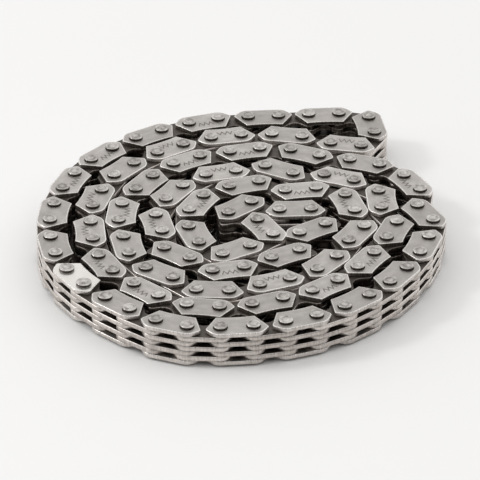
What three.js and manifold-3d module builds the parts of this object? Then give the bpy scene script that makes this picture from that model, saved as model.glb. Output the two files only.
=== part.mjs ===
// Silent timing chain with inverted teeth, an endless loop folded double and wound into a flat coil.
// Millimetres, +Z up. The coil lies on its side, so every pin stands along Z. The origin is at the
// centre of the coil's bounding box, at the height of the lower pin ends it rests on.
//
// The chain is laced 3 x 4: a guide row has two outer guide plates, two toothed link plates and two
// riveted pins, and a middle row has three toothed link plates that turn on the pins of both
// neighbouring guide rows. Nine rows at the outer fold are built piece by piece. The rest of the
// loop is built as sections of a few rows, whose pieces are joined.
import * as THREE from "three";
import { mergeVertices } from "three/addons/utils/BufferGeometryUtils.js";
import Module from "manifold-3d";

const wasm = await Module();
wasm.setup();

// Driving dimensions
const pitch = 6.35; // pin to pin
const guideThickness = 0.8;
const linkThickness = 1.02;
const layerGap = 0.05; // oil film between neighbouring plates
const pinRadius = 1.3;
const pinFit = 0.08; // radial clearance of a pin in the links that turn on it
const openFit = 0.25; // the same at the pivot where the swinging fold meets the coil again
const pinProud = 0.55; // riveted end above a guide plate
const tipGap = 0.36; // between the ends of neighbouring plates on a straight run
const backHeight = 2.68; // from the pin line to a plate's straight back
const toothHeight = 3.52; // from the pin line to the tooth tips
const tipDrop = 0.5; // from the pin line towards the back, to where a plate is longest
const backCorner = 2.5; // how far a rounded back corner reaches along the plate
const guideShoulder = 2.47; // how far a guide plate's slanted end reaches along the plate
const waistDepth = 0.45; // hollow between a guide plate's two shoulders
const toothFlank = 2.7; // how far a tooth's outer flank reaches along the plate
const toothLand = 0.9; // width of a tooth tip
const crotchHeight = 1.75; // from the pin line to the arch between the teeth
const strandGap = 0.1; // least room between the plates of neighbouring strands
const slotRoom = 0.25; // room round a swinging link's end
const sectionGap = 0.3; // between neighbouring sections
const sectionRows = 3; // guide rows in a section
const coreShare = 0.94; // of a plate's outline, filled under a section's upper guide plates
const pinSides = 8;
const headSides = 5;

// How the loop lies: [number of joints, degrees that each bends], walked from the row at the outer
// fold with the teeth on the left.
const startHeading = 99;
const lay = [
  [1, 68], [1, 19], [3, 1], [11, 8.5], [12, 10], [5, 7.5], [1, 49], [1, -48], [3, 29], [1, 2],
  [1, -9], [12, 13], [1, -2], [1, 50], [6, 11], [1, 43], [1, -17], [1, 60], [1, 30], [1, -34],
  [1, 50], [3, 20], [2, 32], [1, 48], [3, 47], [1, -117], [1, -70], [1, 42], [2, -78], [1, 41],
  [3, -24], [1, -49], [1, 11], [1, -42], [6, -15], [1, -40], [1, 20], [2, -16], [1, -56], [1, 37],
  [1, -54], [1, 2], [7, -10.5], [1, -31], [3, -6], [1, -32], [4, -5.5], [1, -26], [3, -7],
  [4, -12.5], [1, 14], [1, 71],
];

// Derived sizes
const halfPlate = pitch - tipGap / 2;
const backFlat = halfPlate - backCorner;
const guideCorner = halfPlate - guideShoulder;
const toothOuter = halfPlate - toothFlank;
const toothInner = toothOuter - toothLand;
const endReach = halfPlate - pitch / 2; // from a pin to the end of a plate that hangs on it
const slotRadius = Math.max(endReach, toothHeight) + slotRoom;
const thicknesses = [guideThickness, ...Array(5).fill(linkThickness), guideThickness];

// The seven layers of plates from the underside up: guides at 0 and 6, guide row links at 2 and 4,
// middle row links at 1, 3 and 5.
const layers = [];
let level = pinProud;
for (const thickness of thicknesses) {
  layers.push({ bottom: level, thickness, top: level + thickness });
  level += thickness + layerGap;
}
const stackTop = layers[6].top;
const pinLength = stackTop + pinProud;

// Corners of the outline that holds every plate of the row between two pins.
const hull = [
  [-backFlat, -backHeight],
  [backFlat, -backHeight],
  [halfPlate, -tipDrop],
  [Math.max(guideCorner, toothOuter), toothHeight],
  [-Math.max(guideCorner, toothOuter), toothHeight],
  [-halfPlate, -tipDrop],
];

// Plates

// A plate's outline lies along X midway between its two pins, with its teeth towards +Y.
function roundedBack(outline) {
  outline.moveTo(-backFlat, -backHeight);
  outline.lineTo(backFlat, -backHeight);
  outline.quadraticCurveTo(halfPlate, -backHeight, halfPlate, -tipDrop);
}

function closeBack(outline) {
  outline.lineTo(-halfPlate, -tipDrop);
  outline.quadraticCurveTo(-halfPlate, -backHeight, -backFlat, -backHeight);
  return outline;
}

function guideOutline() {
  const outline = new THREE.Shape();
  roundedBack(outline);
  outline.lineTo(guideCorner, toothHeight);
  outline.lineTo(0, toothHeight - waistDepth);
  outline.lineTo(-guideCorner, toothHeight);
  return closeBack(outline);
}

function linkOutline() {
  const outline = new THREE.Shape();
  roundedBack(outline);
  outline.lineTo(toothOuter, toothHeight);
  outline.lineTo(toothInner, toothHeight);
  outline.quadraticCurveTo(0, 2 * crotchHeight - toothHeight, -toothInner, toothHeight);
  outline.lineTo(-toothOuter, toothHeight);
  return closeBack(outline);
}

// What a section fills under its upper guide plates: a guide row's core, a little inside its plates,
// and a middle row's, from fromX to toX between the two pins.
function guideCore(share) {
  return new THREE.Shape(hull.map(([x, y]) => new THREE.Vector2(x, y).multiplyScalar(share)));
}

function middleCore(fromX, toX) {
  const [back, front] = [-backHeight * coreShare, toothHeight * coreShare];
  const corners = [[fromX, back], [toX, back], [toX, front], [fromX, front]];
  return new THREE.Shape(corners.map(([x, y]) => new THREE.Vector2(x, y)));
}

// The hole's flats touch the circle of that radius, so a pin turns freely in it.
function pinHole(x, radius) {
  const hole = new THREE.Path();
  const cornerRadius = radius / Math.cos(Math.PI / pinSides);
  for (let side = 0; side < pinSides; side++) {
    const angle = (-2 * Math.PI * side) / pinSides;
    const [cornerX, cornerY] = [x + cornerRadius * Math.cos(angle), cornerRadius * Math.sin(angle)];
    if (side === 0) hole.moveTo(cornerX, cornerY);
    else hole.lineTo(cornerX, cornerY);
  }
  hole.closePath();
  return hole;
}

function plate(outline, holeRadii, layer) {
  outline.holes = holeRadii.map((radius, end) => pinHole((end - 0.5) * pitch, radius));
  const settings = { depth: layer.thickness, bevelEnabled: false, curveSegments: 2 };
  return new THREE.ExtrudeGeometry(outline, settings).translate(0, 0, layer.bottom);
}

function prism(outline, bottom, top) {
  const settings = { depth: top - bottom, bevelEnabled: false, curveSegments: 1 };
  return new THREE.ExtrudeGeometry(outline, settings).translate(0, 0, bottom);
}

// A pin or a round slot that stands along Z at x on the row's pin line.
function roundBar(x, radius, bottom, top, sides) {
  const bar = new THREE.CylinderGeometry(radius, radius, top - bottom, sides);
  return bar.rotateX(Math.PI / 2).translate(x, 0, (bottom + top) / 2);
}

// The lie of the loop

function marchedPins() {
  const bends = lay.flatMap(([count, degrees]) => Array(count).fill(degrees));
  const pins = [new THREE.Vector2(0, 0)];
  let heading = startHeading;
  for (const bend of [0, ...bends]) {
    heading += bend;
    const angle = THREE.MathUtils.degToRad(heading);
    const step = new THREE.Vector2(Math.cos(angle), Math.sin(angle)).multiplyScalar(pitch);
    pins.push(pins.at(-1).clone().add(step));
  }
  // The last point belongs on the first, and what it misses by is shared out over the loop.
  const miss = pins.at(-1).clone().sub(pins[0]);
  const count = pins.length - 1;
  return pins.slice(0, count).map((pin, i) => pin.addScaledVector(miss, -i / count));
}

function placedHull(from, to) {
  const along = to.clone().sub(from).normalize();
  const middle = from.clone().add(to).multiplyScalar(0.5);
  const across = new THREE.Vector2(-along.y, along.x);
  return hull.map(([x, y]) => middle.clone().addScaledVector(along, x).addScaledVector(across, y));
}

function span(corners, axis) {
  const reaches = corners.map((corner) => corner.dot(axis));
  return [Math.min(...reaches), Math.max(...reaches)];
}

// The side along which two hulls are furthest apart, and their distance there, negative when they
// overlap. The axis points from the first to the second.
function apart(first, second) {
  let best = { distance: -Infinity, axis: null };
  for (const corners of [first, second]) {
    corners.forEach((corner, i) => {
      const edge = corners[(i + 1) % corners.length].clone().sub(corner);
      const axis = new THREE.Vector2(edge.y, -edge.x).normalize();
      const [a, b] = [span(first, axis), span(second, axis)];
      if (b[0] - a[1] > best.distance) best = { distance: b[0] - a[1], axis };
      if (a[0] - b[1] > best.distance) best = { distance: a[0] - b[1], axis: axis.clone().negate() };
    });
  }
  return best;
}

// Moves the pins until each is one pitch from the next and no two plates in a layer touch.
function settledPins() {
  const pins = marchedPins();
  const count = pins.length;
  const next = (i) => pins[(i + 1) % count];
  const fewestRounds = 500;
  const mostRounds = 8000;
  const sweeps = 6;
  const nearby = 2.6 * pitch;
  const keepPitch = () => {
    for (let i = 0; i < count; i++) {
      const gap = next(i).clone().sub(pins[i]);
      const correction = gap.multiplyScalar((0.5 * (gap.length() - pitch)) / gap.length());
      pins[i].add(correction);
      next(i).sub(correction);
    }
  };
  const pairs = [];
  for (let i = 0; i < count; i++)
    for (let j = i + 2; j < count; j += 2)
      if (pins[i].distanceTo(pins[j]) < nearby + pitch) pairs.push([i, j]);
  let least = 0;
  for (let round = 0; round < fewestRounds || (least < strandGap / 2 && round < mostRounds); round++) {
    least = strandGap;
    for (const [i, j] of pairs) {
      if (pins[i].clone().add(next(i)).distanceTo(pins[j].clone().add(next(j))) > 2 * nearby) continue;
      const { distance, axis } = apart(placedHull(pins[i], next(i)), placedHull(pins[j], next(j)));
      least = Math.min(least, distance);
      if (distance >= strandGap) continue;
      const push = axis.multiplyScalar(0.5 * (strandGap - distance));
      for (const pin of [pins[i], next(i)]) pin.sub(push);
      for (const pin of [pins[j], next(j)]) pin.add(push);
    }
    for (let sweep = 0; sweep < sweeps; sweep++) keepPitch();
  }
  return pins;
}

const pins = settledPins();

// The nine rows of the outer fold, walked from the coil's outer strand round to the strand inside it.
const foldRows = [5, 4, 3, 2, 1, 0, -1, -2, -3].map((offset) => (offset + pins.length) % pins.length);

// Row i lies between pin i and the next. Even rows are guide rows.
function rowMatrix(i) {
  const [from, to] = [pins[i % pins.length], pins[(i + 1) % pins.length]];
  const turn = new THREE.Matrix4().makeRotationZ(Math.atan2(to.y - from.y, to.x - from.x));
  return turn.setPosition((from.x + to.x) / 2, (from.y + to.y) / 2, 0);
}

// Puts the middle of all the plates over the origin.
function centrePins() {
  const box = new THREE.Box2();
  pins.forEach((pin, i) => {
    if (i % 2 === 1 && !foldRows.includes(i)) return;
    for (const point of guideOutline().getPoints(1)) {
      const corner = new THREE.Vector3(point.x, point.y, 0).applyMatrix4(rowMatrix(i));
      box.expandByPoint(new THREE.Vector2(corner.x, corner.y));
    }
  });
  const centre = box.getCenter(new THREE.Vector2());
  for (const pin of pins) pin.sub(centre);
}

centrePins();

// Solids

function solid(geometry) {
  const plain = geometry.clone();
  plain.deleteAttribute("normal");
  plain.deleteAttribute("uv");
  const merged = mergeVertices(plain, 1e-4);
  const vertProperties = merged.getAttribute("position").array;
  const triVerts = new Uint32Array(merged.index.array);
  return new wasm.Manifold(new wasm.Mesh({ numProp: 3, vertProperties, triVerts }));
}

function geometryOf(manifold) {
  const mesh = manifold.getMesh();
  const geometry = new THREE.BufferGeometry();
  geometry.setAttribute("position", new THREE.BufferAttribute(mesh.vertProperties, 3));
  geometry.setIndex(new THREE.BufferAttribute(mesh.triVerts, 1));
  const faceted = geometry.toNonIndexed();
  faceted.computeVertexNormals();
  return faceted;
}

const finishes = {
  guide: { color: 0xb4aea8, roughness: 0.42, metalness: 0.85 },
  link: { color: 0x8c8580, roughness: 0.5, metalness: 0.85 },
  pin: { color: 0xc9c4be, roughness: 0.25, metalness: 0.95 },
};

const chain = new THREE.Group();

function addPiece(name, finish, geometry, matrix) {
  const piece = new THREE.Mesh(geometry, new THREE.MeshStandardMaterial(finishes[finish]));
  piece.name = name;
  if (matrix) piece.applyMatrix4(matrix);
  chain.add(piece);
}

// Rows built piece by piece

const running = pinRadius + pinFit;

function addGuideRow(name, i) {
  const matrix = rowMatrix(i);
  const holes = [running, running];
  addPiece(`${name}_top_guide_plate`, "guide", plate(guideOutline(), holes, layers[6]), matrix);
  addPiece(`${name}_upper_link_plate`, "link", plate(linkOutline(), holes, layers[4]), matrix);
  addPiece(`${name}_lower_link_plate`, "link", plate(linkOutline(), holes, layers[2]), matrix);
  addPiece(`${name}_bottom_guide_plate`, "guide", plate(guideOutline(), holes, layers[0]), matrix);
  addPiece(`${name}_first_pin`, "pin", roundBar(-pitch / 2, pinRadius, 0, pinLength, pinSides), matrix);
  addPiece(`${name}_second_pin`, "pin", roundBar(pitch / 2, pinRadius, 0, pinLength, pinSides), matrix);
}

function addMiddleRow(name, i, holeRadii) {
  const matrix = rowMatrix(i);
  addPiece(`${name}_upper_link_plate`, "link", plate(linkOutline(), holeRadii, layers[5]), matrix);
  addPiece(`${name}_middle_link_plate`, "link", plate(linkOutline(), holeRadii, layers[3]), matrix);
  addPiece(`${name}_lower_link_plate`, "link", plate(linkOutline(), holeRadii, layers[1]), matrix);
}

// Sections of joined rows

// A middle row's core without the room of the guide rows outside its section, which reaches as far
// outside their plates as a core stays inside them.
function clearOfGuides(core, i, rows) {
  const room = guideCore(2 - coreShare);
  const middle = pins[i].clone().add(pins[(i + 1) % pins.length]);
  let clear = core;
  for (let j = 0; j < pins.length; j += 2) {
    if (rows.includes(j) || middle.distanceTo(pins[j].clone().add(pins[j + 1])) > 4 * pitch) continue;
    clear = clear.subtract(solid(prism(room, 0, pinLength).applyMatrix4(rowMatrix(j))));
  }
  return clear;
}

function sectionRow(i, rows) {
  const guideRow = i % 2 === 0;
  const matrix = rowMatrix(i);
  const [coreBottom, coreTop] = [layers[0].bottom, layers[6].bottom + layerGap];
  const fromX = i === rows[0] ? sectionGap / 2 : -pitch / 2;
  const toX = i === rows.at(-1) ? -sectionGap / 2 : pitch / 2;
  const core = guideRow ? guideCore(coreShare) : middleCore(fromX, toX);
  let row = solid(prism(core, coreBottom, coreTop).applyMatrix4(matrix));
  if (!guideRow) return clearOfGuides(row, i, rows);
  const pieces = [
    prism(guideOutline(), layers[6].bottom, layers[6].top),
    roundBar(-pitch / 2, pinRadius, 0, pinLength, headSides),
    roundBar(pitch / 2, pinRadius, 0, pinLength, headSides),
  ];
  for (const piece of pieces) row = row.add(solid(piece.applyMatrix4(matrix)));
  return row;
}

// Room round the pin at x of guide row i for the links that swing on it, in layers 1, 3 and 5.
function swingSlots(i, x, room) {
  return [1, 3, 5].map((index) => {
    const [bottom, top] = [layers[index - 1].top, layers[index + 1].bottom];
    const slot = solid(roundBar(x, slotRadius + room, bottom, top, 2 * pinSides));
    const pin = solid(roundBar(x, pinRadius, bottom - layerGap, top + layerGap, pinSides));
    return slot.subtract(pin).transform(rowMatrix(i).elements);
  });
}

function addSection(name, rows, cuts) {
  let body = null;
  for (const i of rows) {
    const row = sectionRow(i, rows);
    body = body ? body.add(row) : row;
  }
  for (const cut of cuts) body = body.subtract(cut);
  addPiece(name, "guide", geometryOf(body));
}

foldRows.forEach((i, k) => {
  const name = `fold_row_${k + 1}`;
  const farEnd = k === foldRows.length - 1 ? pinRadius + openFit : running;
  if (i % 2 === 0) addGuideRow(name, i);
  else addMiddleRow(name, i, [farEnd, running]);
});

const firstRow = foldRows[0] + 1;
const lastRow = foldRows.at(-1) - 1;
const perSection = 2 * sectionRows;
const sectionCount = Math.ceil((lastRow - firstRow + 1) / perSection);
for (let k = 0; k < sectionCount; k++) {
  const start = firstRow + k * perSection;
  const end = Math.min(start + perSection - 1, lastRow);
  const rows = [];
  for (let i = start - (k > 0 ? 1 : 0); i <= end; i++) rows.push(i);
  const cuts = [];
  if (k === 0) cuts.push(...swingSlots(start, -pitch / 2, 0));
  if (end === lastRow) cuts.push(...swingSlots(end, pitch / 2, openFit));
  addSection(`coil_section_${String(k + 1).padStart(2, "0")}`, rows, cuts);
}

export default chain;
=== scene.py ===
import math
import random

import bmesh
import bpy
from mathutils import Matrix, Vector


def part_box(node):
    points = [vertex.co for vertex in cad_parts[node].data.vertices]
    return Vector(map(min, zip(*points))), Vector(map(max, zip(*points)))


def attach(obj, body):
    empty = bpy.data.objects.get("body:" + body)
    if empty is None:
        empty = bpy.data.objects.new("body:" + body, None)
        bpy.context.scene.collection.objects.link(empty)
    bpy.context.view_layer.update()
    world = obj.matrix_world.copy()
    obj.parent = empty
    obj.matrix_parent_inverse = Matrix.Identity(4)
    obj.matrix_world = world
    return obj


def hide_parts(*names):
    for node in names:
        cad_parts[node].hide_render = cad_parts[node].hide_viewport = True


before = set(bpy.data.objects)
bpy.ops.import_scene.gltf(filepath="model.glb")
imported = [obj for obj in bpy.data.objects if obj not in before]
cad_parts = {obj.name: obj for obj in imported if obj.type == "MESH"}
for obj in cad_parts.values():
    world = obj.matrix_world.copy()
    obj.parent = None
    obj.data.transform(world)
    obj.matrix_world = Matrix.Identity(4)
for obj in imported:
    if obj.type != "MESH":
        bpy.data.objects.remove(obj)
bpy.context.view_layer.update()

mm = 0.001
samePoint = 0.001 * mm
dice = random.Random(7)  # gives each plate and pin a tone of its own

# How the loop is cut up in the frame: rows are numbered from the guide row at the outer fold.
loop = {
    "rows": 128,
    "foldRows": [5, 4, 3, 2, 1, 0, 127, 126, 125],
    "firstCoilRow": 6,
    "rowsPerSection": 6,
    "connectingRow": 18,
}

# One plate of each of the seven layers, from the bottom up.
layerNodes = [
    "fold_row_2_bottom_guide_plate",
    "fold_row_1_lower_link_plate",
    "fold_row_2_lower_link_plate",
    "fold_row_1_middle_link_plate",
    "fold_row_2_upper_link_plate",
    "fold_row_1_upper_link_plate",
    "fold_row_2_top_guide_plate",
]

pinSizes = {
    "radius": 1.3 * mm,
    "headRadius": 1.4 * mm,
    "shoulder": 0.22 * mm,
    "shoulderDrop": 0.11 * mm,
    "shoulderTurns": (30, 60, 90),
    "dish": 0.05 * mm,
    "dishRadius": 0.62 * mm,
    "dishShare": 0.6,  # of the dish's depth, at its radius
    "headFoot": 0.04 * mm,  # above the plate
    "neckTop": 0.05 * mm,  # below the plate's face
    "steps": 20,
    "topSlope": 0.3,  # least z of the normals of an end's faces
}
connectingPinSizes = dict(pinSizes, headRadius=1.5 * mm, shoulder=0.2 * mm, shoulderDrop=0.1 * mm, dish=0.0)

layers = [(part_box(node)[0][2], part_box(node)[1][2]) for node in layerNodes]
pinBottom, pinTop = (corner[2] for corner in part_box("fold_row_2_first_pin"))


# Middles of the pin ends that stand out of a joined section.
def pinsOfSection(node):
    endFace = pinTop - 0.01 * mm
    samePin = 2.1 * pinSizes["radius"]
    corners = sorted({(round(v.co.x, 7), round(v.co.y, 7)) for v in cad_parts[node].data.vertices
                      if v.co.z > endFace})
    groups = []
    for corner in corners:
        spot = Vector(corner)
        for group in groups:
            if (spot - group[0]).length < samePin:
                group.append(spot)
                break
        else:
            groups.append([spot])
    return [sum(group, Vector((0, 0))) / len(group) for group in groups]


def middleOf(node):
    low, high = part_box(node)
    return Vector(((low[0] + high[0]) / 2, (low[1] + high[1]) / 2))


# The fold's pins have nodes of their own. From there each next pin lies a pitch from the last one.
def readPins():
    pins = [None] * loop["rows"]
    for k, row in enumerate(loop["foldRows"]):
        if row % 2 == 0:
            pins[row] = middleOf(f"fold_row_{k + 1}_first_pin")
            pins[row + 1] = middleOf(f"fold_row_{k + 1}_second_pin")
    pitch = (pins[1] - pins[0]).length
    row = loop["firstCoilRow"]
    sections = sorted(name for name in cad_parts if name.startswith("coil_section"))
    for section in sections:
        spots = pinsOfSection(section)
        while spots:
            nearest = min(spots, key=lambda spot: abs((spot - pins[row - 1]).length - pitch))
            spots.remove(nearest)
            pins[row] = nearest
            row += 1
    return pins, pitch, sections


pins, pitch, sections = readPins()
worst = max(abs((pins[i] - pins[i - 1]).length - pitch) for i in range(len(pins)))
print(f"read {len(pins)} pins, pitch {pitch / mm:.3f} mm, worst error {worst / mm:.4f} mm")


# A row's own frame: the middle of its pin line, X along it and the teeth towards +Y.
def rowMatrix(row):
    start, end = pins[row], pins[(row + 1) % len(pins)]
    along, middle = end - start, (start + end) / 2
    turn = Matrix.Rotation(math.atan2(along.y, along.x), 4, "Z")
    return Matrix.Translation((middle.x, middle.y, 0)) @ turn


# Shader maths: a Wire is one socket that carries a number, and its operators add Math nodes.
class Wire:
    def __init__(self, maker, socket):
        self.maker = maker
        self.socket = socket

    def maths(self, operation, *values):
        return self.maker.node("ShaderNodeMath", {"operation": operation}, values)

    def __add__(self, other):
        return self.maths("ADD", self, other)

    def __radd__(self, other):
        return self.maths("ADD", other, self)

    def __sub__(self, other):
        return self.maths("SUBTRACT", self, other)

    def __rsub__(self, other):
        return self.maths("SUBTRACT", other, self)

    def __mul__(self, other):
        return self.maths("MULTIPLY", self, other)

    def __rmul__(self, other):
        return self.maths("MULTIPLY", other, self)

    def above(self, edge):
        return self.maths("GREATER_THAN", self, edge)

    def below(self, edge):
        return self.maths("LESS_THAN", self, edge)

    def absolute(self):
        return self.maths("ABSOLUTE", self)

    def root(self):
        return self.maths("SQRT", self)

    def zigzag(self, halfWave):
        return self.maths("PINGPONG", self, halfWave)


# Adds nodes to the tree of a material or of the world.
class NodeMaker:
    def __init__(self, tree):
        self.tree = tree

    def feed(self, socket, value):
        if isinstance(value, Wire):
            self.tree.links.new(value.socket, socket)
        else:
            socket.default_value = value

    # A node of any kind: first its settings, then its sockets in order, or by name or number.
    def node(self, kind, settings, sockets, output=0):
        made = self.tree.nodes.new(kind)
        for key, value in settings.items():
            if key == "stops":
                self.setStops(made.color_ramp.elements, value)
            else:
                setattr(made, key, value)
        chosen = sockets if isinstance(sockets, dict) else dict(enumerate(sockets))
        for key, value in chosen.items():
            self.feed(made.inputs[key], value)
        return Wire(self, made.outputs[output])

    def setStops(self, elements, stops):
        while len(elements) < len(stops):
            elements.new(0.5)
        for element, (place, shade) in zip(elements, stops):
            element.position = place
            element.color = (*shade, 1)

    def parts(self, vector):
        first = self.node("ShaderNodeSeparateXYZ", {}, [vector])
        return [Wire(self, output) for output in first.socket.node.outputs]

    def noise(self, vector, scale, detail, rough=0.55):
        return self.node("ShaderNodeTexNoise", {}, {
            "Vector": vector, "Scale": scale, "Detail": detail, "Roughness": rough})

    def stretched(self, vector, factors):
        return self.node("ShaderNodeVectorMath", {"operation": "MULTIPLY"}, [vector, factors])

    def mixed(self, factor, first, second):
        return self.node("ShaderNodeMix", {"data_type": "RGBA"}, {0: factor, 6: first, 7: second}, output=2)

    def ramp(self, value, stops):
        return self.node("ShaderNodeValToRGB", {"stops": stops}, [value])

    def grade(self, value, low, high, outLow=0.0, outHigh=1.0):
        return self.node("ShaderNodeMapRange", {}, [value, low, high, outLow, outHigh])

    def bump(self, height, strength, distance):
        return self.node("ShaderNodeBump", {}, {"Height": height, "Strength": strength, "Distance": distance})


class Finish(NodeMaker):
    def __init__(self, name):
        self.material = bpy.data.materials.new(name)
        self.material.use_nodes = True
        super().__init__(self.material.node_tree)
        self.shader = self.tree.nodes["Principled BSDF"]

    # Where a point is on its own plate or pin, in millimetres, with the piece's tone as z.
    def ownSpot(self):
        return self.node("ShaderNodeAttribute", {"attribute_name": "plateSpot"}, [], output=1)

    def objectSpot(self):
        return self.node("ShaderNodeTexCoord", {}, [], output=3)

    def set(self, **sockets):
        for key, value in sockets.items():
            self.feed(self.shader.inputs[key.replace("_", " ")], value)
        return self.material


# Sizes in millimetres, as ownSpot gives them.
stampSizes = {
    "halfWave": 0.54,
    "shift": 50,  # half waves, which keep the zigzag's place above zero
    "slope": 2.0,
    "middle": 1.35,
    "stroke": 0.32,
    "soft": 0.7,  # share of the stroke that is full depth
    "halfLength": 1.62,
    "share": 0.45,  # of the plates
    "tint": 0.75,
    "depth": 1.6,
}


# A plain stamped zigzag between the pins, on the toothed side of about every other plate.
def stampMask(finish, x, y, tone):
    sizes = stampSizes
    height = sizes["halfWave"] * sizes["slope"]
    shifted = x + sizes["shift"] * sizes["halfWave"]
    wave = shifted.zigzag(sizes["halfWave"]) * sizes["slope"] - height / 2
    fromLine = (y - sizes["middle"] - wave).absolute()
    line = finish.grade(fromLine, sizes["soft"] * sizes["stroke"], sizes["stroke"], 1.0, 0.0)
    along = x.absolute().below(sizes["halfLength"])
    marked = tone.above(1.0 - sizes["share"])
    return line * along * marked


faceGrain = {
    "patchStretch": (0.35, 0.6, 90.0), "patchScale": 1.0, "patchDetail": 4.0,
    "grainStretch": (1.1, 6.5, 40.0), "grainScale": 2.2, "grainDetail": 5.0, "grainRough": 0.65,
    "pitStretch": (5.0, 5.0, 30.0), "pitScale": 1.6, "pitDetail": 2.0,
    "grainInShade": 0.35, "shadeFrom": 0.45, "shadeTo": 1.25, "middleShade": 0.55,
    "patchInGloss": 0.6, "glossFrom": 0.3, "glossTo": 0.7,
    "grainInRelief": 0.6, "relief": 0.04 * mm,
}


# Tumbled top and bottom faces of the plates: soft mottling, fine scratches and a tone per plate.
def plateFace(name, look):
    finish = Finish(name)
    spot = finish.ownSpot()
    x, y, tone = finish.parts(spot)
    shared = faceGrain
    patch = finish.noise(finish.stretched(spot, shared["patchStretch"]), shared["patchScale"],
                         shared["patchDetail"])
    grain = finish.noise(finish.stretched(spot, shared["grainStretch"]), shared["grainScale"],
                         shared["grainDetail"], shared["grainRough"])
    pits = finish.noise(finish.stretched(spot, shared["pitStretch"]), shared["pitScale"], shared["pitDetail"])
    shade = finish.grade(patch + grain * shared["grainInShade"] + tone * look["toneShare"],
                         shared["shadeFrom"], shared["shadeTo"])
    colour = finish.ramp(shade, [
        (0.0, look["dark"]), (shared["middleShade"], look["middle"]), (1.0, look["light"])])
    gloss = patch * shared["patchInGloss"] + grain * (1 - shared["patchInGloss"])
    relief = grain * shared["grainInRelief"] + pits * (1 - shared["grainInRelief"])
    if "stampColour" in look:
        stamp = stampMask(finish, x, y, tone)
        colour = finish.mixed(stamp * stampSizes["tint"], colour, (*look["stampColour"], 1))
        relief = relief - stamp * stampSizes["depth"]
    return finish.set(
        Base_Color=colour, Metallic=look["metal"],
        Roughness=finish.grade(gloss, shared["glossFrom"], shared["glossTo"], look["smooth"], look["rough"]),
        Normal=finish.bump(relief, look["bump"], shared["relief"]))


guideFace = plateFace("guideFace", {
    "dark": (0.34, 0.318, 0.296), "middle": (0.485, 0.458, 0.43), "light": (0.66, 0.63, 0.598),
    "toneShare": 0.3, "metal": 0.88, "smooth": 0.36, "rough": 0.5, "bump": 0.35,
    "stampColour": (0.1, 0.086, 0.075)})
# Dark link faces: painted shade of the recesses between the guide plates.
shadedLinkFace = plateFace("shadedLinkFace", {
    "dark": (0.045, 0.037, 0.031), "middle": (0.105, 0.09, 0.078), "light": (0.27, 0.243, 0.219),
    "toneShare": 0.1, "metal": 0.75, "smooth": 0.28, "rough": 0.46, "bump": 0.3})
brightFace = plateFace("brightFace", {
    "dark": (0.76, 0.73, 0.69), "middle": (0.83, 0.798, 0.757), "light": (0.89, 0.86, 0.82),
    "toneShare": 0.05, "metal": 0.85, "smooth": 0.22, "rough": 0.36, "bump": 0.2})

edgeGrain = {
    "streakStretch": (5200.0, 5200.0, 1000.0), "streakScale": 0.5, "streakDetail": 4.0, "streakRough": 0.6,
    "broadScale": 420.0, "broadDetail": 2.0,
    "streakShare": 0.6, "broadShare": 0.25, "toneShare": 0.15, "mottleFrom": 0.3, "mottleTo": 0.68,
    "middlePlace": 0.6, "glossFrom": 0.3, "glossTo": 0.7, "relief": 0.05 * mm, "metal": 0.85,
}


# Blanked walls and rims are lighter on a plate's back, as painted light, and darker towards its teeth, as
# painted shade.
def edgeFinish(name, look):
    finish = Finish(name)
    y, tone = finish.parts(finish.ownSpot())[1:]
    spot = finish.objectSpot()
    shared = edgeGrain
    streak = finish.noise(finish.stretched(spot, shared["streakStretch"]), shared["streakScale"],
                          shared["streakDetail"], shared["streakRough"])
    broad = finish.noise(spot, shared["broadScale"], shared["broadDetail"])
    mottle = finish.grade(
        streak * shared["streakShare"] + broad * shared["broadShare"] + tone * shared["toneShare"],
        shared["mottleFrom"], shared["mottleTo"])
    lit = finish.ramp(mottle, [(0.0, look["litDark"]), (1.0, look["litLight"])])
    shaded = finish.ramp(mottle, [
        (0.0, look["shadedDark"]), (shared["middlePlace"], look["shadedMiddle"]), (1.0, look["shadedLight"])])
    share = finish.grade(y, look["shadedFrom"], look["litFrom"])
    return finish.set(
        Base_Color=finish.mixed(share, shaded, lit), Metallic=shared["metal"],
        Roughness=finish.grade(streak, shared["glossFrom"], shared["glossTo"], look["smooth"], look["rough"]),
        Normal=finish.bump(streak, look["bump"], shared["relief"]))


# The first two colours of each are painted light on a plate's back, the other three painted shade towards its
# teeth.
plateWall = edgeFinish("blankedWall", {
    "litDark": (0.44, 0.4, 0.37), "litLight": (0.84, 0.79, 0.75),
    "shadedDark": (0.1, 0.086, 0.074), "shadedMiddle": (0.22, 0.194, 0.17), "shadedLight": (0.4, 0.362, 0.33),
    "shadedFrom": 0.6, "litFrom": -0.8, "smooth": 0.34, "rough": 0.52, "bump": 0.3})
linkWall = edgeFinish("linkWallLitAndShaded", {
    "litDark": (0.42, 0.376, 0.345), "litLight": (0.84, 0.785, 0.74),
    "shadedDark": (0.05, 0.042, 0.035), "shadedMiddle": (0.14, 0.12, 0.102), "shadedLight": (0.36, 0.32, 0.286),
    "shadedFrom": -0.6, "litFrom": -2.0, "smooth": 0.3, "rough": 0.5, "bump": 0.35})
# The rims' light colours stand partly for worn steel and partly for a painted highlight.
plateRim = edgeFinish("wornHighlightRim", {
    "litDark": (0.62, 0.59, 0.56), "litLight": (0.93, 0.9, 0.87),
    "shadedDark": (0.5, 0.47, 0.44), "shadedMiddle": (0.67, 0.64, 0.605), "shadedLight": (0.84, 0.81, 0.775),
    "shadedFrom": 0.6, "litFrom": -0.8, "smooth": 0.2, "rough": 0.34, "bump": 0.15})
linkRim = edgeFinish("linkRimLitAndShaded", {
    "litDark": (0.5, 0.46, 0.43), "litLight": (0.9, 0.855, 0.815),
    "shadedDark": (0.06, 0.051, 0.044), "shadedMiddle": (0.2, 0.175, 0.154), "shadedLight": (0.66, 0.62, 0.58),
    "shadedFrom": -0.6, "litFrom": -2.0, "smooth": 0.24, "rough": 0.42, "bump": 0.2})

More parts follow.
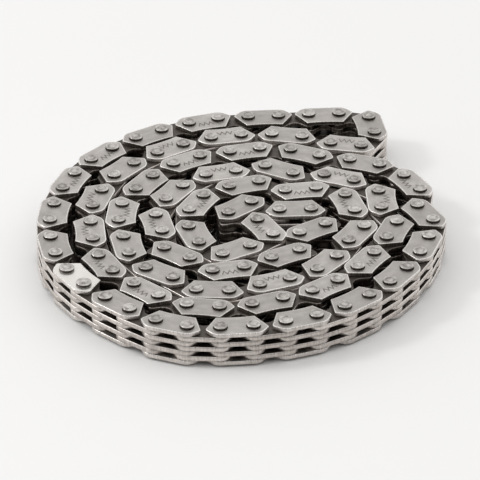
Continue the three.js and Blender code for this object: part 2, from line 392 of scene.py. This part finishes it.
pinTopLook = {
    "stretch": (1.0, 1.0, 60.0), "dentScale": 0.9, "dentDetail": 1.0, "fineScale": 2.2, "fineDetail": 2.0,
    "ringRadius": 0.78, "ringFull": 0.06, "ringEnd": 0.3,  # the peening tool's ring, in millimetres
    "dentShare": 0.7, "fineShare": 0.15, "toneShare": 0.15, "ringShare": 0.12,
    "shadeFrom": 0.28, "shadeTo": 0.68,
    "dark": (0.24, 0.22, 0.2), "middle": (0.46, 0.434, 0.408), "light": (0.68, 0.65, 0.62),
    "metal": 0.92, "glossFrom": 0.3, "glossTo": 0.7, "smooth": 0.2, "rough": 0.34,
    "ringRelief": -0.25, "bump": 0.3, "relief": 0.2 * mm,
}


# Riveted pin ends: a worn ring, soft dents and a tone per pin.
def pinTopFinish():
    finish = Finish("rivetedEnd")
    look = pinTopLook
    spot = finish.ownSpot()
    x, y, tone = finish.parts(spot)
    dent = finish.noise(finish.stretched(spot, look["stretch"]), look["dentScale"], look["dentDetail"])
    fine = finish.noise(finish.stretched(spot, look["stretch"]), look["fineScale"], look["fineDetail"])
    fromRing = ((x * x + y * y).root() - look["ringRadius"]).absolute()
    ring = finish.grade(fromRing, look["ringFull"], look["ringEnd"], 1.0, 0.0)
    shade = dent * look["dentShare"] + fine * look["fineShare"] + tone * look["toneShare"]
    colour = finish.ramp(
        finish.grade(shade - ring * look["ringShare"], look["shadeFrom"], look["shadeTo"]),
        [(0.0, look["dark"]), (0.5, look["middle"]), (1.0, look["light"])])
    return finish.set(
        Base_Color=colour, Metallic=look["metal"],
        Roughness=finish.grade(fine, look["glossFrom"], look["glossTo"], look["smooth"], look["rough"]),
        Normal=finish.bump(dent + ring * look["ringRelief"], look["bump"], look["relief"]))


# Painted shade: dark, blotchy colours on the sides of the pins and in the pin holes.
def paintedShadeFinish(name, look):
    finish = Finish(name)
    blotch = finish.noise(finish.objectSpot(), look["scale"], look["detail"])
    colour = finish.ramp(blotch, [(look["darkPlace"], look["dark"]), (look["lightPlace"], look["light"])])
    return finish.set(
        Base_Color=colour, Metallic=look["metal"],
        Roughness=finish.grade(blotch, look["darkPlace"], look["lightPlace"], look["smooth"], look["rough"]))


pinTopSteel = pinTopFinish()
# Both of these dark colours are painted shade.
pinSideSteel = paintedShadeFinish("pinSide", {
    "scale": 1500.0, "detail": 2.0, "darkPlace": 0.35, "lightPlace": 0.65, "metal": 0.85,
    "dark": (0.03, 0.024, 0.02), "light": (0.1, 0.086, 0.075), "smooth": 0.32, "rough": 0.46})
groove = paintedShadeFinish("shadedGroove", {
    "scale": 1200.0, "detail": 2.0, "darkPlace": 0.3, "lightPlace": 0.7, "metal": 0.7,
    "dark": (0.05, 0.042, 0.037), "light": (0.13, 0.112, 0.1), "smooth": 0.3, "rough": 0.5})
print("finishes made")

# The slope of a face is the size of its normal's z: 1 on a plate's faces and 0 on its walls.
# The reaches are in pin radii, from the middle of a pin.
plateSort = {"flat": 0.98, "wall": 0.05, "rimStep": 0.9, "holeReach": 1.35, "ringReach": 1.3}


# Rounds some corners of a flat outline. A rounding is a radius and a number of steps.
def roundCorners(bm, spots, rounding):
    chosen = [v for v in bm.verts if any((v.co.xy - Vector(spot)).length < samePoint for spot in spots)]
    bmesh.ops.bevel(bm, geom=chosen, offset=rounding[0], offset_type="OFFSET", segments=rounding[1],
                    profile=0.5, affect="VERTICES", clamp_overlap=True, material=-1)


def mirrored(spots):
    return spots + [(-x, y) for x, y in spots]


# A flat outline from the corners of its right half, with an extra one on its middle line or none.
def drawOutline(bm, right, middle):
    ring = right + middle + [(-x, y) for x, y in reversed(right)]
    bm.faces.new([bm.verts.new((x, y, 0)) for x, y in ring])


def fromNearestPin(face):
    middle = face.calc_center_median().xy
    return min((middle - Vector((side * pitch, 0))).length for side in (-0.5, 0.5))


# Raises an outline into a plate with broken rims. Pin holes have the given room, or there are none.
def raisePlate(bm, sizes, thickness, rooms):
    if rooms:
        bmesh.ops.delete(bm, geom=bm.faces[:], context="FACES_ONLY")
        for side, room in zip((-0.5, 0.5), rooms):
            bmesh.ops.create_circle(
                bm, cap_ends=False, segments=sizes["holeSides"], radius=pinSizes["radius"] + room,
                matrix=Matrix.Translation((side * pitch, 0, 0)))
        bmesh.ops.triangle_fill(bm, use_beauty=True, use_dissolve=False, edges=bm.edges[:], normal=(0, 0, 1))
    raised = bmesh.ops.extrude_face_region(bm, geom=bm.faces[:])["geom"]
    upper = [part for part in raised if isinstance(part, bmesh.types.BMVert)]
    bmesh.ops.translate(bm, vec=(0, 0, thickness), verts=upper)
    bmesh.ops.recalc_face_normals(bm, faces=bm.faces[:])
    bm.normal_update()
    rims = [e for e in bm.edges if len(e.link_faces) == 2
            and abs(abs(e.link_faces[0].normal.z) - abs(e.link_faces[1].normal.z)) > plateSort["rimStep"]]
    bmesh.ops.bevel(bm, geom=rims, offset=sizes["rim"], offset_type="OFFSET", segments=sizes["rimSteps"],
                    profile=0.5, affect="EDGES", clamp_overlap=False, material=-1)
    bm.normal_update()


# Material 0 is a plate's faces, 1 its broken rims, 2 its walls and 3 the walls of its pin holes.
def sortPlateFaces(bm):
    for face in bm.faces:
        slope = abs(face.normal.z)
        inHole = fromNearestPin(face) < plateSort["holeReach"] * pinSizes["radius"]
        if slope > plateSort["flat"]:
            face.material_index = 0
        elif inHole:
            face.material_index = 3
        else:
            face.material_index = 1 if slope > plateSort["wall"] else 2
        face.smooth = slope <= plateSort["flat"]


# A narrow band round a plate's faces takes the rim's colours: worn steel, brightened into a painted highlight
# line.
def wearAndHighlightEdges(bm, width):
    flats = [face for face in bm.faces if abs(face.normal.z) > plateSort["flat"]]
    return bmesh.ops.inset_region(bm, faces=flats, thickness=width, use_boundary=True,
                                  use_even_offset=True)["faces"]


# Keeps each point's place on its own plate or pin, in millimetres. The z is filled with a tone later.
def storeTemplate(bm, name):
    layer = bm.verts.layers.float_vector.new("plateSpot")
    for vert in bm.verts:
        vert[layer] = (vert.co.x / mm, vert.co.y / mm, 0)
    mesh = bpy.data.meshes.new(name)
    bm.to_mesh(mesh)
    bm.free()
    return mesh


# Outlines lie along X with the teeth towards +Y, and sizes are from the middle of the pin line.
guideSizes = {
    "halfLength": 6.17 * mm,
    "backHeight": 2.68 * mm,
    "toothHeight": 3.52 * mm,
    "tipDrop": 0.5 * mm,
    "backFlat": 4.35 * mm,
    "shoulder": 3.69 * mm,
    "waist": 0.5 * mm,
    "backRound": (1.0 * mm, 4),
    "tipRound": (0.42 * mm, 3),
    "shoulderRound": (0.1 * mm, 2),
    "waistRound": (2.9 * mm, 6),
    "holeSides": 14,
    "holeRoom": 0.07 * mm,
    "rim": 0.1 * mm,
    "rimSteps": 2,
    "wornHighlightEdge": 0.13 * mm,
}


def guideTemplate(name, thickness):
    sizes = guideSizes
    bm = bmesh.new()
    back = (sizes["backFlat"], -sizes["backHeight"])
    tip = (sizes["halfLength"], -sizes["tipDrop"])
    shoulder = (sizes["shoulder"], sizes["toothHeight"])
    waist = (0, sizes["toothHeight"] - sizes["waist"])
    drawOutline(bm, [back, tip, shoulder], [waist])
    roundCorners(bm, mirrored([back]), sizes["backRound"])
    roundCorners(bm, mirrored([tip]), sizes["tipRound"])
    roundCorners(bm, mirrored([shoulder]), sizes["shoulderRound"])
    roundCorners(bm, [waist], sizes["waistRound"])
    raisePlate(bm, sizes, thickness, (sizes["holeRoom"], sizes["holeRoom"]))
    wornHighlightBand = wearAndHighlightEdges(bm, sizes["wornHighlightEdge"])
    sortPlateFaces(bm)
    for face in wornHighlightBand:
        outside = fromNearestPin(face) > plateSort["ringReach"] * pinSizes["radius"]
        face.material_index = 1 if outside else 0
    return storeTemplate(bm, name)


linkSizes = {
    "halfLength": 6.14 * mm,
    "backHeight": 2.65 * mm,
    "toothHeight": 3.48 * mm,
    "tipDrop": 0.5 * mm,
    "backFlat": 4.3 * mm,
    "toothOuter": 3.42 * mm,
    "toothInner": 2.55 * mm,
    "crotchHeight": 1.8 * mm,
    "crotchHalf": 0.75 * mm,
    "backRound": (0.9 * mm, 3),
    "tipRound": (0.45 * mm, 2),
    "toothRound": (0.18 * mm, 1),
    "crotchRound": (0.6 * mm, 2),
    "holeSides": 12,
    "holeRoom": 0.07 * mm,
    "openRoom": 0.25 * mm,  # at the pivot where the loop is opened
    "rim": 0.11 * mm,
    "rimSteps": 1,
}


def linkTemplate(name, thickness, rooms):
    sizes = linkSizes
    bm = bmesh.new()
    back = (sizes["backFlat"], -sizes["backHeight"])
    tip = (sizes["halfLength"], -sizes["tipDrop"])
    outer = (sizes["toothOuter"], sizes["toothHeight"])
    inner = (sizes["toothInner"], sizes["toothHeight"])
    crotch = (sizes["crotchHalf"], sizes["crotchHeight"])
    drawOutline(bm, [back, tip, outer, inner, crotch], [])
    roundCorners(bm, mirrored([back]), sizes["backRound"])
    roundCorners(bm, mirrored([tip]), sizes["tipRound"])
    roundCorners(bm, mirrored([outer, inner]), sizes["toothRound"])
    roundCorners(bm, mirrored([crotch]), sizes["crotchRound"])
    raisePlate(bm, sizes, thickness, rooms)
    sortPlateFaces(bm)
    return storeTemplate(bm, name)


# A pin from end to end, spun from its profile: dished flat ends with rounded edges, a little upset.
def pinTemplate(name, sizes):
    bm = bmesh.new()
    middle = (pinBottom + pinTop) / 2
    top = pinTop - middle
    plateTop = layers[6][1] - middle
    head, shoulder = sizes["headRadius"], sizes["shoulder"]
    upper = [(0, top - sizes["dish"]), (sizes["dishRadius"], top - sizes["dish"] * sizes["dishShare"]),
             (head - shoulder, top)]
    for degrees in sizes["shoulderTurns"]:
        turn = math.radians(degrees)
        drop = sizes["shoulderDrop"] * (1 - math.cos(turn))
        upper.append((head - shoulder * (1 - math.sin(turn)), top - drop))
    upper += [(head, plateTop + sizes["headFoot"]), (sizes["radius"], plateTop - sizes["neckTop"])]
    profile = upper + [(x, -z) for x, z in reversed(upper)]
    verts = [bm.verts.new((x, 0, z)) for x, z in profile]
    edges = [bm.edges.new(pair) for pair in zip(verts, verts[1:])]
    bmesh.ops.spin(bm, geom=verts + edges, cent=(0, 0, 0), axis=(0, 0, 1), angle=2 * math.pi,
                   steps=sizes["steps"], use_merge=True)
    bmesh.ops.remove_doubles(bm, verts=bm.verts[:], dist=samePoint)
    bmesh.ops.recalc_face_normals(bm, faces=bm.faces[:])
    bmesh.ops.translate(bm, vec=(0, 0, middle), verts=bm.verts[:])
    bm.normal_update()
    for face in bm.faces:
        face.smooth = True
        face.material_index = 0 if abs(face.normal.z) > sizes["topSlope"] else 1
    return storeTemplate(bm, name)


guideThickness = layers[6][1] - layers[6][0]
linkThickness = layers[3][1] - layers[3][0]
closeFit, openFit = linkSizes["holeRoom"], linkSizes["openRoom"]
templates = {
    "guide": guideTemplate("guideTemplate", guideThickness),
    "link": linkTemplate("linkTemplate", linkThickness, ()),
    "holedLink": linkTemplate("holedLinkTemplate", linkThickness, (closeFit, closeFit)),
    "openLink": linkTemplate("openLinkTemplate", linkThickness, (openFit, closeFit)),
    "pin": pinTemplate("pinTemplate", pinSizes),
    "connectingPin": pinTemplate("connectingPinTemplate", connectingPinSizes),
}
print("templates made")

finishes = {
    "guide": [guideFace, plateRim, plateWall, groove],
    "bright": [brightFace, plateRim, plateWall, groove],
    "link": [shadedLinkFace, linkRim, linkWall, groove],
    "pin": [pinTopSteel, pinSideSteel],
}


# Copies of templates in one piece, each with a tone of its own.
def buildPiece(name, copies, finish):
    bm = bmesh.new()
    for template, matrix in copies:
        before = len(bm.verts)
        bm.from_mesh(templates[template])
        bm.verts.ensure_lookup_table()
        fresh = bm.verts[before:]
        layer = bm.verts.layers.float_vector["plateSpot"]
        tone = dice.random()
        for vert in fresh:
            vert[layer].z = tone
        bmesh.ops.transform(bm, matrix=matrix, verts=fresh)
    mesh = bpy.data.meshes.new(name)
    bm.to_mesh(mesh)
    bm.free()
    piece = bpy.data.objects.new(name, mesh)
    bpy.context.scene.collection.objects.link(piece)
    for material in finishes[finish]:
        mesh.materials.append(material)
    return piece


def settle(piece, body, node):
    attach(piece, body)
    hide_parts(node)


def platePlace(row, layer):
    return Matrix.Translation((0, 0, layers[layer][0])) @ rowMatrix(row)


def pinPlace(row, side):
    return rowMatrix(row) @ Matrix.Translation((side * pitch / 2, 0, 0))


# The nine rows of the fold, piece by piece. The last one is opened at the coil's pin.
def finishFoldRow(k, row):
    body = f"fold_row_{k + 1}"
    link = "openLink" if row == loop["foldRows"][-1] else "holedLink"
    upperLayer, lowerLayer = (4, 2) if row % 2 == 0 else (5, 1)
    plates = {
        "top_guide_plate": ("guide", 6),
        "upper_link_plate": (link, upperLayer),
        "middle_link_plate": (link, 3),
        "lower_link_plate": (link, lowerLayer),
        "bottom_guide_plate": ("guide", 0),
    }
    for part, (template, layer) in plates.items():
        node = f"{body}_{part}"
        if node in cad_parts:
            finish, slotName = ("guide", "guide_steel") if template == "guide" else ("link", "link_steel")
            piece = buildPiece(f"{node}_finished", [(template, platePlace(row, layer))], finish)
            settle(piece, body, node)
    for part, side in (("first_pin", -1), ("second_pin", 1)):
        node = f"{body}_{part}"
        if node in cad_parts:
            piece = buildPiece(f"{node}_finished", [("pin", pinPlace(row, side))], "pin")
            settle(piece, body, node)


# One section of the coil: its guide plates, its link plates and its pins.
def finishSection(section, start):
    end = min(start + loop["rowsPerSection"], loop["foldRows"][-1])
    guides, links, studs, bright, brightStuds = [], [], [], [], []
    for row in range(start, end):
        if row % 2 == 0:
            connecting = row == loop["connectingRow"]
            plates, stock = (bright, brightStuds) if connecting else (guides, studs)
            plates.append(("guide", platePlace(row, 6)))
            guides.append(("guide", platePlace(row, 0)))
            links += [("link", platePlace(row, layer)) for layer in (2, 4)]
            kind = "connectingPin" if connecting else "pin"
            stock += [(kind, pinPlace(row, side)) for side in (-1, 1)]
        else:
            links += [("link", platePlace(row, layer)) for layer in (1, 3, 5)]
    made = [
        ("guide_plates", guides, "guide"),
        ("link_plates", links, "link"),
        ("pins", studs, "pin"),
        ("connecting_plate", bright, "bright"),
        ("connecting_pins", brightStuds, "pin"),
    ]
    for part, copies, finish in made:
        if copies:
            settle(buildPiece(f"{section}_{part}", copies, finish), "coil", section)


for k, row in enumerate(loop["foldRows"]):
    finishFoldRow(k, row)
for k, section in enumerate(sections):
    finishSection(section, loop["firstCoilRow"] + k * loop["rowsPerSection"])
print("chain pieces made")

floorSettings = {
    "size": 6.0,
    "shade": (0.922, 0.918, 0.912),
    "cloudScale": 5.0, "cloudDetail": 2.0, "cloudFrom": 0.3, "cloudTo": 0.7, "cloudDark": 0.985,
    # The dark disc under the chain is painted shadow.
    "shadowInner": 34.5 * mm, "shadowOuter": 37.0 * mm, "shadowColour": (0.1, 0.084, 0.07),
    "rough": 0.8,
}


# Pale paper, with a painted shadow: a dark disc under the chain, seen through the gaps between its strands.
def makeFloor():
    look = floorSettings
    bm = bmesh.new()
    bmesh.ops.create_grid(bm, x_segments=1, y_segments=1, size=look["size"] / 2)
    mesh = bpy.data.meshes.new("floor")
    bm.to_mesh(mesh)
    bm.free()
    floor = bpy.data.objects.new("floor", mesh)
    bpy.context.scene.collection.objects.link(floor)
    finish = Finish("paperFloor")
    spot = finish.objectSpot()
    cloud = finish.noise(spot, look["cloudScale"], look["cloudDetail"])
    darker = tuple(look["cloudDark"] * c for c in look["shade"])
    paper = finish.ramp(cloud, [(look["cloudFrom"], darker), (look["cloudTo"], look["shade"])])
    x, y = finish.parts(spot)[:2]
    shadowed = finish.grade((x * x + y * y).root(), look["shadowInner"], look["shadowOuter"], 1.0, 0.0)
    colour = finish.mixed(shadowed, paper, (*look["shadowColour"], 1))
    mesh.materials.append(finish.set(Base_Color=colour, Roughness=look["rough"]))


skySettings = {
    "strength": 0.98,
    "towards": (-0.12, 0.68, 0.72),
    "front": (0.4, (0.1, 0.093, 0.086)),
    "top": (0.62, (1.15, 1.145, 1.14)),
    "back": (0.96, (0.98, 0.98, 0.98)),
}


# The studio is bright behind and above the chain and dark on the near side.
def makeSky():
    look = skySettings
    world = bpy.data.worlds.new("studio")
    bpy.context.scene.world = world
    world.use_nodes = True
    maker = NodeMaker(world.node_tree)
    place = maker.node("ShaderNodeTexCoord", {}, [])
    lean = maker.node(
        "ShaderNodeVectorMath", {"operation": "DOT_PRODUCT"}, [place, look["towards"]], output=1)
    share = maker.grade(lean, -1.0, 1.0)
    colour = maker.ramp(share, [look["front"], look["top"], look["back"]])
    background = world.node_tree.nodes["Background"]
    maker.feed(background.inputs["Color"], colour)
    maker.feed(background.inputs["Strength"], look["strength"])


keySettings = {"place": (-0.76, 0.0, 0.6), "size": 0.2, "power": 1.7}


def makeKey():
    lamp = bpy.data.lights.new("keyLight", "AREA")
    lamp.shape = "DISK"
    lamp.size = keySettings["size"]
    lamp.energy = keySettings["power"]
    key = bpy.data.objects.new("keyLight", lamp)
    key.location = keySettings["place"]
    key.rotation_mode = "QUATERNION"
    key.rotation_quaternion = (-key.location).to_track_quat("-Z", "Y")
    bpy.context.scene.collection.objects.link(key)


# Angles are in degrees.
cameraSettings = {
    "sensor": 36.0,
    "lens": 274.57,
    "distance": 721.2 * mm,
    "elevation": 31.49,
    "azimuth": 0.29,
    "roll": 0.70,
    "aim": (-0.2 * mm, -10.65 * mm, pinTop),
    "clip": (0.05, 20.0),
}


def makeCamera():
    data = bpy.data.cameras.new("camera")
    data.sensor_width = cameraSettings["sensor"]
    data.lens = cameraSettings["lens"]
    data.clip_start, data.clip_end = cameraSettings["clip"]
    camera = bpy.data.objects.new("camera", data)
    azimuth, elevation, roll = (math.radians(cameraSettings[key]) for key in ("azimuth", "elevation", "roll"))
    back = Vector((math.sin(azimuth) * math.cos(elevation), -math.cos(azimuth) * math.cos(elevation),
                   math.sin(elevation)))
    right = Vector((math.cos(azimuth), math.sin(azimuth), 0))
    up = back.cross(right)
    turnedRight = math.cos(roll) * right + math.sin(roll) * up
    turnedUp = math.cos(roll) * up - math.sin(roll) * right
    basis = Matrix((turnedRight, turnedUp, back)).transposed().to_4x4()
    place = Vector(cameraSettings["aim"]) + back * cameraSettings["distance"]
    camera.matrix_world = Matrix.Translation(place) @ basis
    bpy.context.scene.collection.objects.link(camera)
    bpy.context.scene.camera = camera


makeFloor()
makeSky()
makeKey()
makeCamera()
bpy.context.scene.view_settings.view_transform = "Standard"
print("stage, light and camera made")
